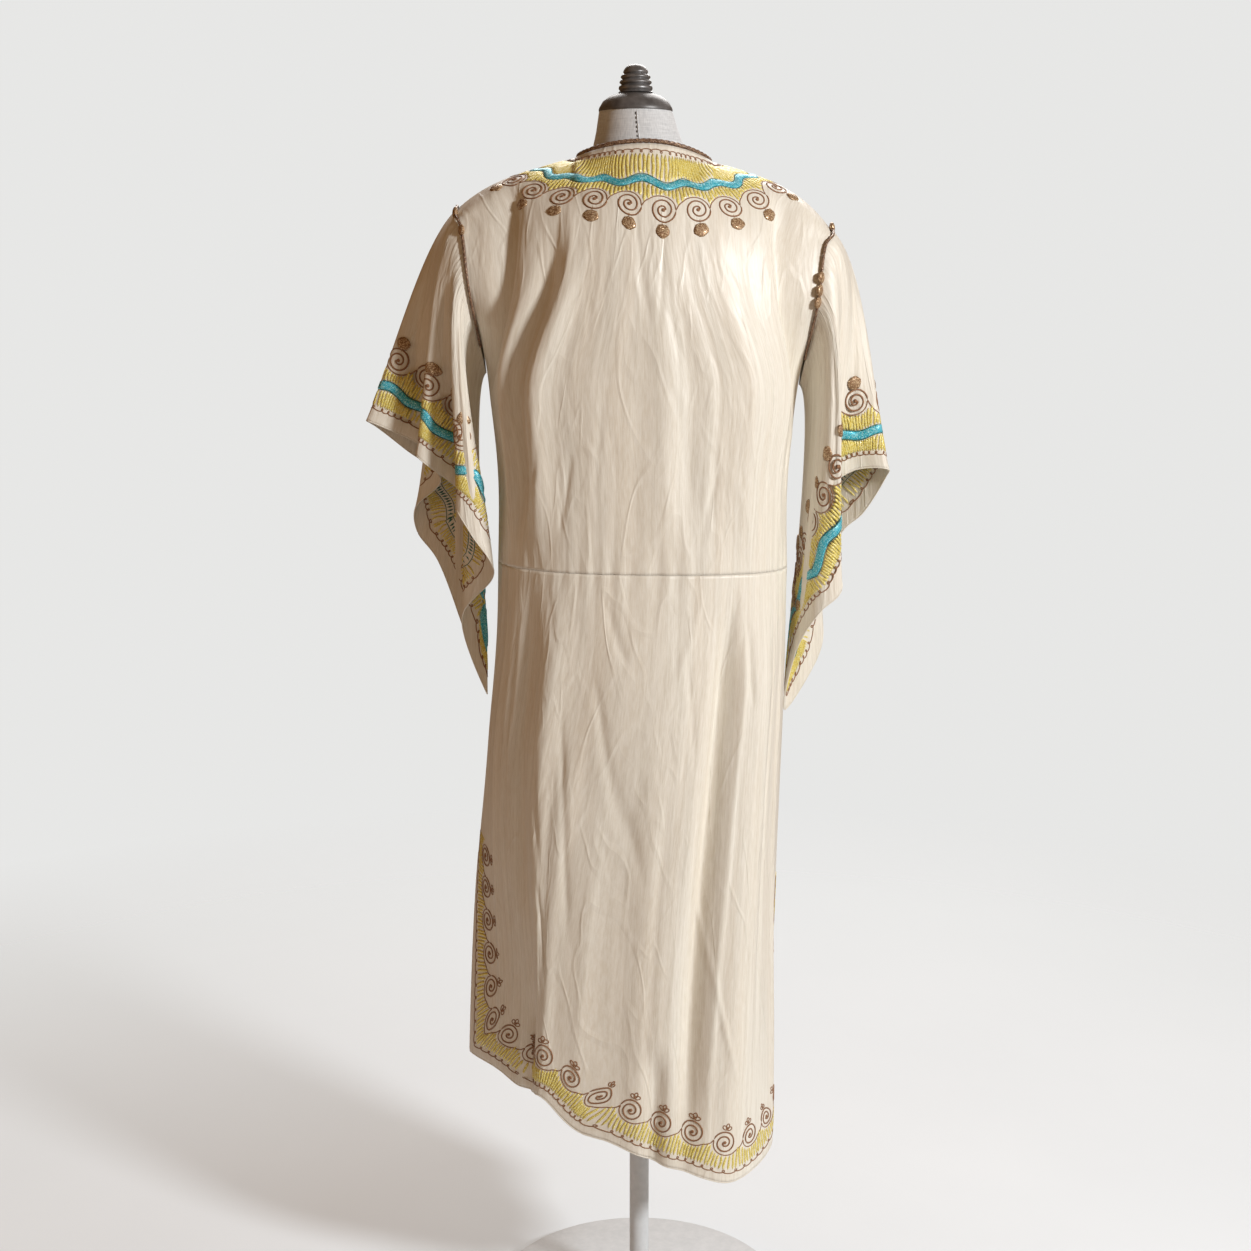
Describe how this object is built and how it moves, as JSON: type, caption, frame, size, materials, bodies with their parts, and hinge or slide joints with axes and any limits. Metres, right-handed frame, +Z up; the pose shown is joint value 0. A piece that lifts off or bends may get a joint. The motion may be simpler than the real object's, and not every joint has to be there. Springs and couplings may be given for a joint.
{
  "type": "caftan on a limbless dress form",
  "caption": "Wide-sleeved long caftan with side slits and a slanting hem, worn by a smooth limbless dress form on a round stand.",
  "frame": {"origin": "centre of the underside of the stand's round base", "axes": "+Z up along the pole; -Y is the pictured side, the garment's back; +X is the picture's right"},
  "size_m": [0.6391, 0.38, 1.5835],
  "materials": {
    "cloth": "cream satin weave with a soft sheen and fine slub",
    "braid": "bronze glitter braid",
    "form_canvas": "plain woven canvas",
    "cap_metal": "satin grey",
    "stand_paint": "plain pale satin paint"
  },
  "bodies": {
    "root": {"back_bodice": "cloth", "back_skirt": "cloth", "front_bodice": "cloth", "front_skirt": "cloth", "sleeve_left": "cloth", "sleeve_right": "cloth", "neck_braid": "braid", "armhole_braid_left": "braid", "armhole_braid_right": "braid", "torso_form": "form_canvas", "neck_cap": "cap_metal", "finial": "cap_metal", "pole_collar": "stand_paint", "stand_pole": "stand_paint", "stand_base": "stand_paint"}
  },
  "joints": []
}
